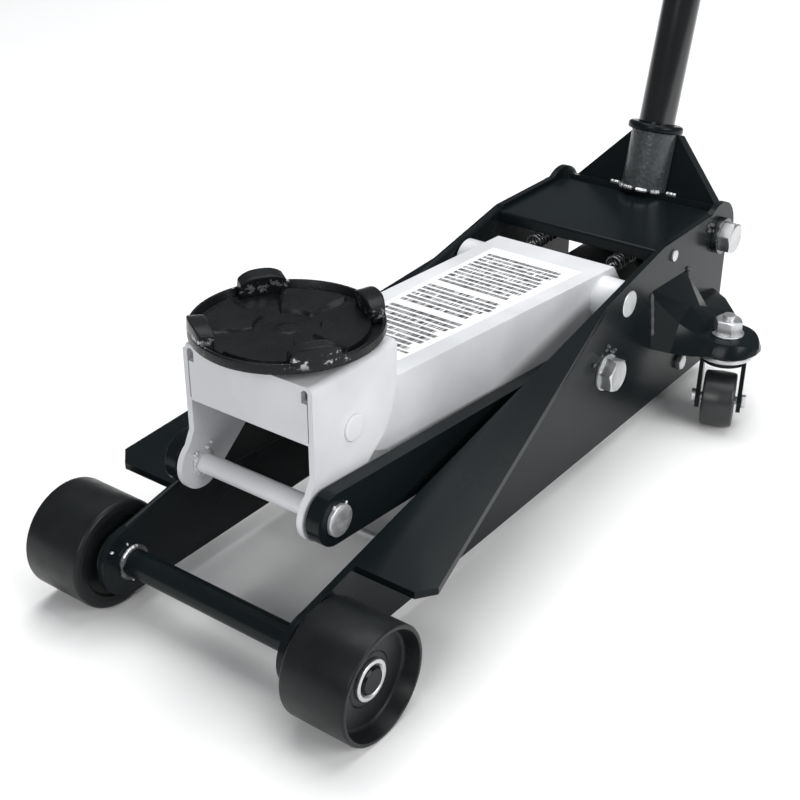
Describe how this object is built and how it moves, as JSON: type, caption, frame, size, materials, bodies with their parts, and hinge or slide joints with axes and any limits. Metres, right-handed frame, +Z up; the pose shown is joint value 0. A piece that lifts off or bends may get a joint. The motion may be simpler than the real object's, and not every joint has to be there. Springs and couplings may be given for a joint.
{
  "type": "hydraulic trolley jack",
  "caption": "Low wheeled hydraulic trolley jack with lift arm, levelling bracket, round saddle and upright pump handle.",
  "frame": {"origin": "floor level, centred under the bounding box, on the mid-plane between the side plates", "axes": "+X towards the saddle end, +Y to the jack's left, +Z up"},
  "size_m": [0.913, 0.352, 0.9874],
  "materials": {
    "frame_paint": "glossy black enamel over pressed steel",
    "arm_paint": "light grey satin enamel",
    "zinc": "bright zinc-plated fasteners",
    "bright_steel": "ground steel shafts and rods",
    "wheel_iron": "black painted cast iron wheels",
    "saddle_iron": "black cast iron saddle",
    "handle_paint": "gloss black tube",
    "grip_rubber": "black moulded grip",
    "caster_nylon": "black nylon caster tread",
    "spring_wire": "black oiled spring wire",
    "cast_block": "painted cast power unit"
  },
  "bodies": {
    "root": {"side_plate_left": "frame_paint", "side_plate_right": "frame_paint", "front_axle": "frame_paint", "wheel_washers": "zinc", "wheel_spacers": "frame_paint", "stretcher_rod": "bright_steel", "arm_pivot_shaft": "bright_steel", "top_cover": "frame_paint", "rear_cross_member": "frame_paint", "tie_pivot_bolts": "zinc", "tie_bolt_washers": "zinc", "tie_spacers": "zinc", "yoke_pivot_bolts": "zinc", "yoke_bolt_washers": "zinc", "frame_bolts": "zinc", "cover_rivets": "zinc", "power_unit_block": "cast_block", "ram_cylinder": "bright_steel", "oil_reservoir": "cast_block", "cylinder_head": "cast_block", "pump_barrel": "bright_steel", "oil_filler_plug": "zinc", "caster_bracket_left": "frame_paint", "caster_bracket_right": "frame_paint", "caster_nuts": "zinc", "caster_races": "zinc", "caster_kingpins": "zinc", "return_springs": "spring_wire", "spring_anchor_rod": "frame_paint"},
    "wheel_left": {"front_wheel_left": "wheel_iron"},
    "wheel_right": {"front_wheel_right": "wheel_iron"},
    "arm": {"lift_arm": "arm_paint"},
    "bracket": {"saddle_bracket": "arm_paint", "bracket_cross_tube": "arm_paint", "bracket_pins": "arm_paint", "tie_front_pins": "zinc"},
    "saddle_top": {"saddle": "saddle_iron", "saddle_clip": "zinc"},
    "link_left": {"tie_link_left": "frame_paint"},
    "link_right": {"tie_link_right": "frame_paint"},
    "ram": {"ram_piston": "bright_steel", "ram_rod": "bright_steel", "ram_pin": "bright_steel"},
    "yoke": {"handle_yoke": "frame_paint", "socket_collar": "frame_paint", "roller_pin": "bright_steel"},
    "roller": {"pump_roller": "bright_steel"},
    "handle": {"handle_lower": "handle_paint", "handle_upper": "handle_paint", "handle_grip": "grip_rubber", "handle_end_cap": "grip_rubber", "release_knuckle": "bright_steel"},
    "plunger": {"pump_plunger": "bright_steel"},
    "valve": {"release_valve": "bright_steel"},
    "caster_left": {"caster_fork_left": "frame_paint", "caster_axle_left": "zinc"},
    "caster_right": {"caster_fork_right": "frame_paint", "caster_axle_right": "zinc"},
    "caster_roll_left": {"caster_wheel_left": "caster_nylon"},
    "caster_roll_right": {"caster_wheel_right": "caster_nylon"}
  },
  "joints": [
    {"name": "wheel_left_roll", "type": "hinge", "parent": "root", "child": "wheel_left", "pos_m": [0.41151, 0.128, 0.045], "axis": [0, 1, 0], "continuous": true},
    {"name": "wheel_right_roll", "type": "hinge", "parent": "root", "child": "wheel_right", "pos_m": [0.41151, -0.128, 0.045], "axis": [0, 1, 0], "continuous": true},
    {"name": "lift", "type": "hinge", "parent": "root", "child": "arm", "pos_m": [-0.03749, 0, 0.1445], "axis": [0, -1, 0], "range_deg": [-13, 40]},
    {"name": "bracket_level", "type": "hinge", "parent": "arm", "child": "bracket", "pos_m": [0.32051, 0, 0.1725], "axis": [0, -1, 0], "range_deg": [-40, 13]},
    {"name": "saddle_turn", "type": "hinge", "parent": "bracket", "child": "saddle_top", "pos_m": [0.31851, 0, 0.222], "axis": [0, 0, 1], "continuous": true},
    {"name": "link_left_swing", "type": "hinge", "parent": "root", "child": "link_left", "pos_m": [0.00051, 0.0695, 0.092], "axis": [0, -1, 0], "range_deg": [-13, 40]},
    {"name": "link_right_swing", "type": "hinge", "parent": "root", "child": "link_right", "pos_m": [0.00051, -0.0695, 0.092], "axis": [0, -1, 0], "range_deg": [-13, 40]},
    {"name": "ram_extend", "type": "slide", "parent": "root", "child": "ram", "axis": [1, 0, 0], "range_m": [-0.0102, 0.0312]},
    {"name": "handle_pump", "type": "hinge", "parent": "root", "child": "yoke", "pos_m": [-0.21849, 0, 0.152], "axis": [0, -1, 0], "range_deg": [0, 55]},
    {"name": "handle_twist", "type": "hinge", "parent": "yoke", "child": "handle", "pos_m": [-0.22429, 0, 0.1505], "axis": [-0.2504, 0, 0.9681], "range_deg": [-30, 180]},
    {"name": "roller_spin", "type": "hinge", "parent": "yoke", "child": "roller", "pos_m": [-0.23649, 0, 0.158], "axis": [0, 1, 0], "continuous": true},
    {"name": "pump_stroke", "type": "slide", "parent": "root", "child": "plunger", "axis": [0, 0, -1], "range_m": [0, 0.0184]},
    {"name": "release_turn", "type": "hinge", "parent": "root", "child": "valve", "pos_m": [-0.20049, 0, 0.1], "axis": [0, 0, 1], "range_deg": [-30, 180]},
    {"name": "caster_left_swivel", "type": "hinge", "parent": "root", "child": "caster_left", "pos_m": [-0.14549, 0.143, 0.06], "axis": [0, 0, 1], "continuous": true},
    {"name": "caster_left_roll", "type": "hinge", "parent": "caster_left", "child": "caster_roll_left", "pos_m": [-0.12857, 0.14916, 0.027], "axis": [-0.342, 0.9397, 0], "continuous": true},
    {"name": "caster_right_swivel", "type": "hinge", "parent": "root", "child": "caster_right", "pos_m": [-0.14549, -0.143, 0.06], "axis": [0, 0, 1], "continuous": true},
    {"name": "caster_right_roll", "type": "hinge", "parent": "caster_right", "child": "caster_roll_right", "pos_m": [-0.12857, -0.14916, 0.027], "axis": [0.342, 0.9397, 0], "continuous": true}
  ],
  "couplings": [
    {"joint": "bracket_level", "follows": "lift", "ratio": -1},
    {"joint": "link_left_swing", "follows": "lift", "ratio": 1},
    {"joint": "link_right_swing", "follows": "lift", "ratio": 1},
    {"joint": "ram_extend", "follows": "lift", "m_per_rad": 0.0445},
    {"joint": "pump_stroke", "follows": "handle_pump", "m_per_rad": 0.019},
    {"joint": "release_turn", "follows": "handle_twist", "ratio": 1}
  ]
}
